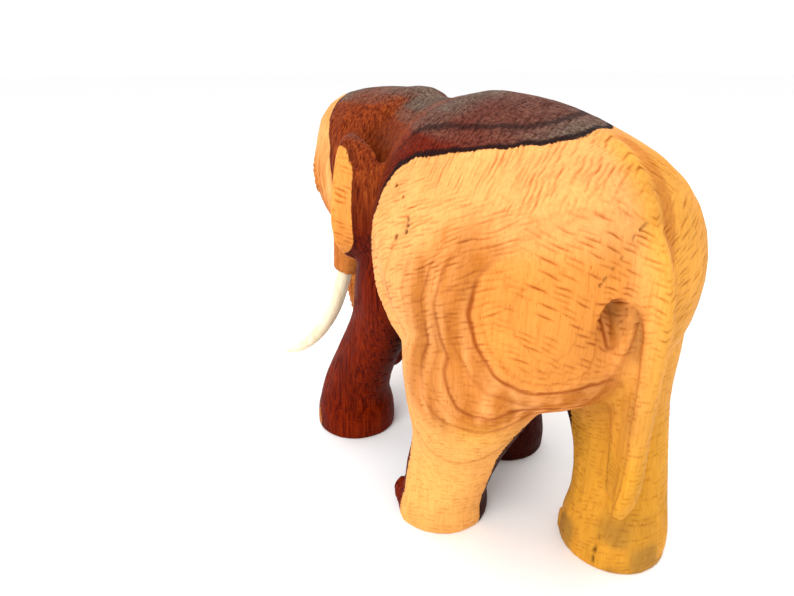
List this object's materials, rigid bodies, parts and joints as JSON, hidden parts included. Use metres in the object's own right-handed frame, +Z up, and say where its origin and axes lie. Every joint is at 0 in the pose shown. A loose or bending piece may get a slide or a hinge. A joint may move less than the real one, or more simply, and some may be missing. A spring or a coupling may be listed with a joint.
{
  "type": "carved wooden elephant",
  "caption": "Walking elephant figurine carved from one block of two-tone hardwood, with curved inset tusks and small bead eyes, standing on flat soles.",
  "frame": {"origin": "on the ground under the middle of the box that holds the object", "axes": "+X the way the elephant walks, +Y its left side, +Z up"},
  "size_m": [0.1856, 0.094, 0.1499],
  "materials": {
    "carved_wood": "hand-gouged hardwood under a thin satin oil finish, golden sapwood over reddish-brown heartwood",
    "tusk_resin": "polished cream resin",
    "eye_bead": "glossy black bead"
  },
  "bodies": {
    "root": {"carved_body": "carved_wood", "left_tusk": "tusk_resin", "right_tusk": "tusk_resin", "left_eye": "eye_bead", "right_eye": "eye_bead"}
  },
  "joints": []
}
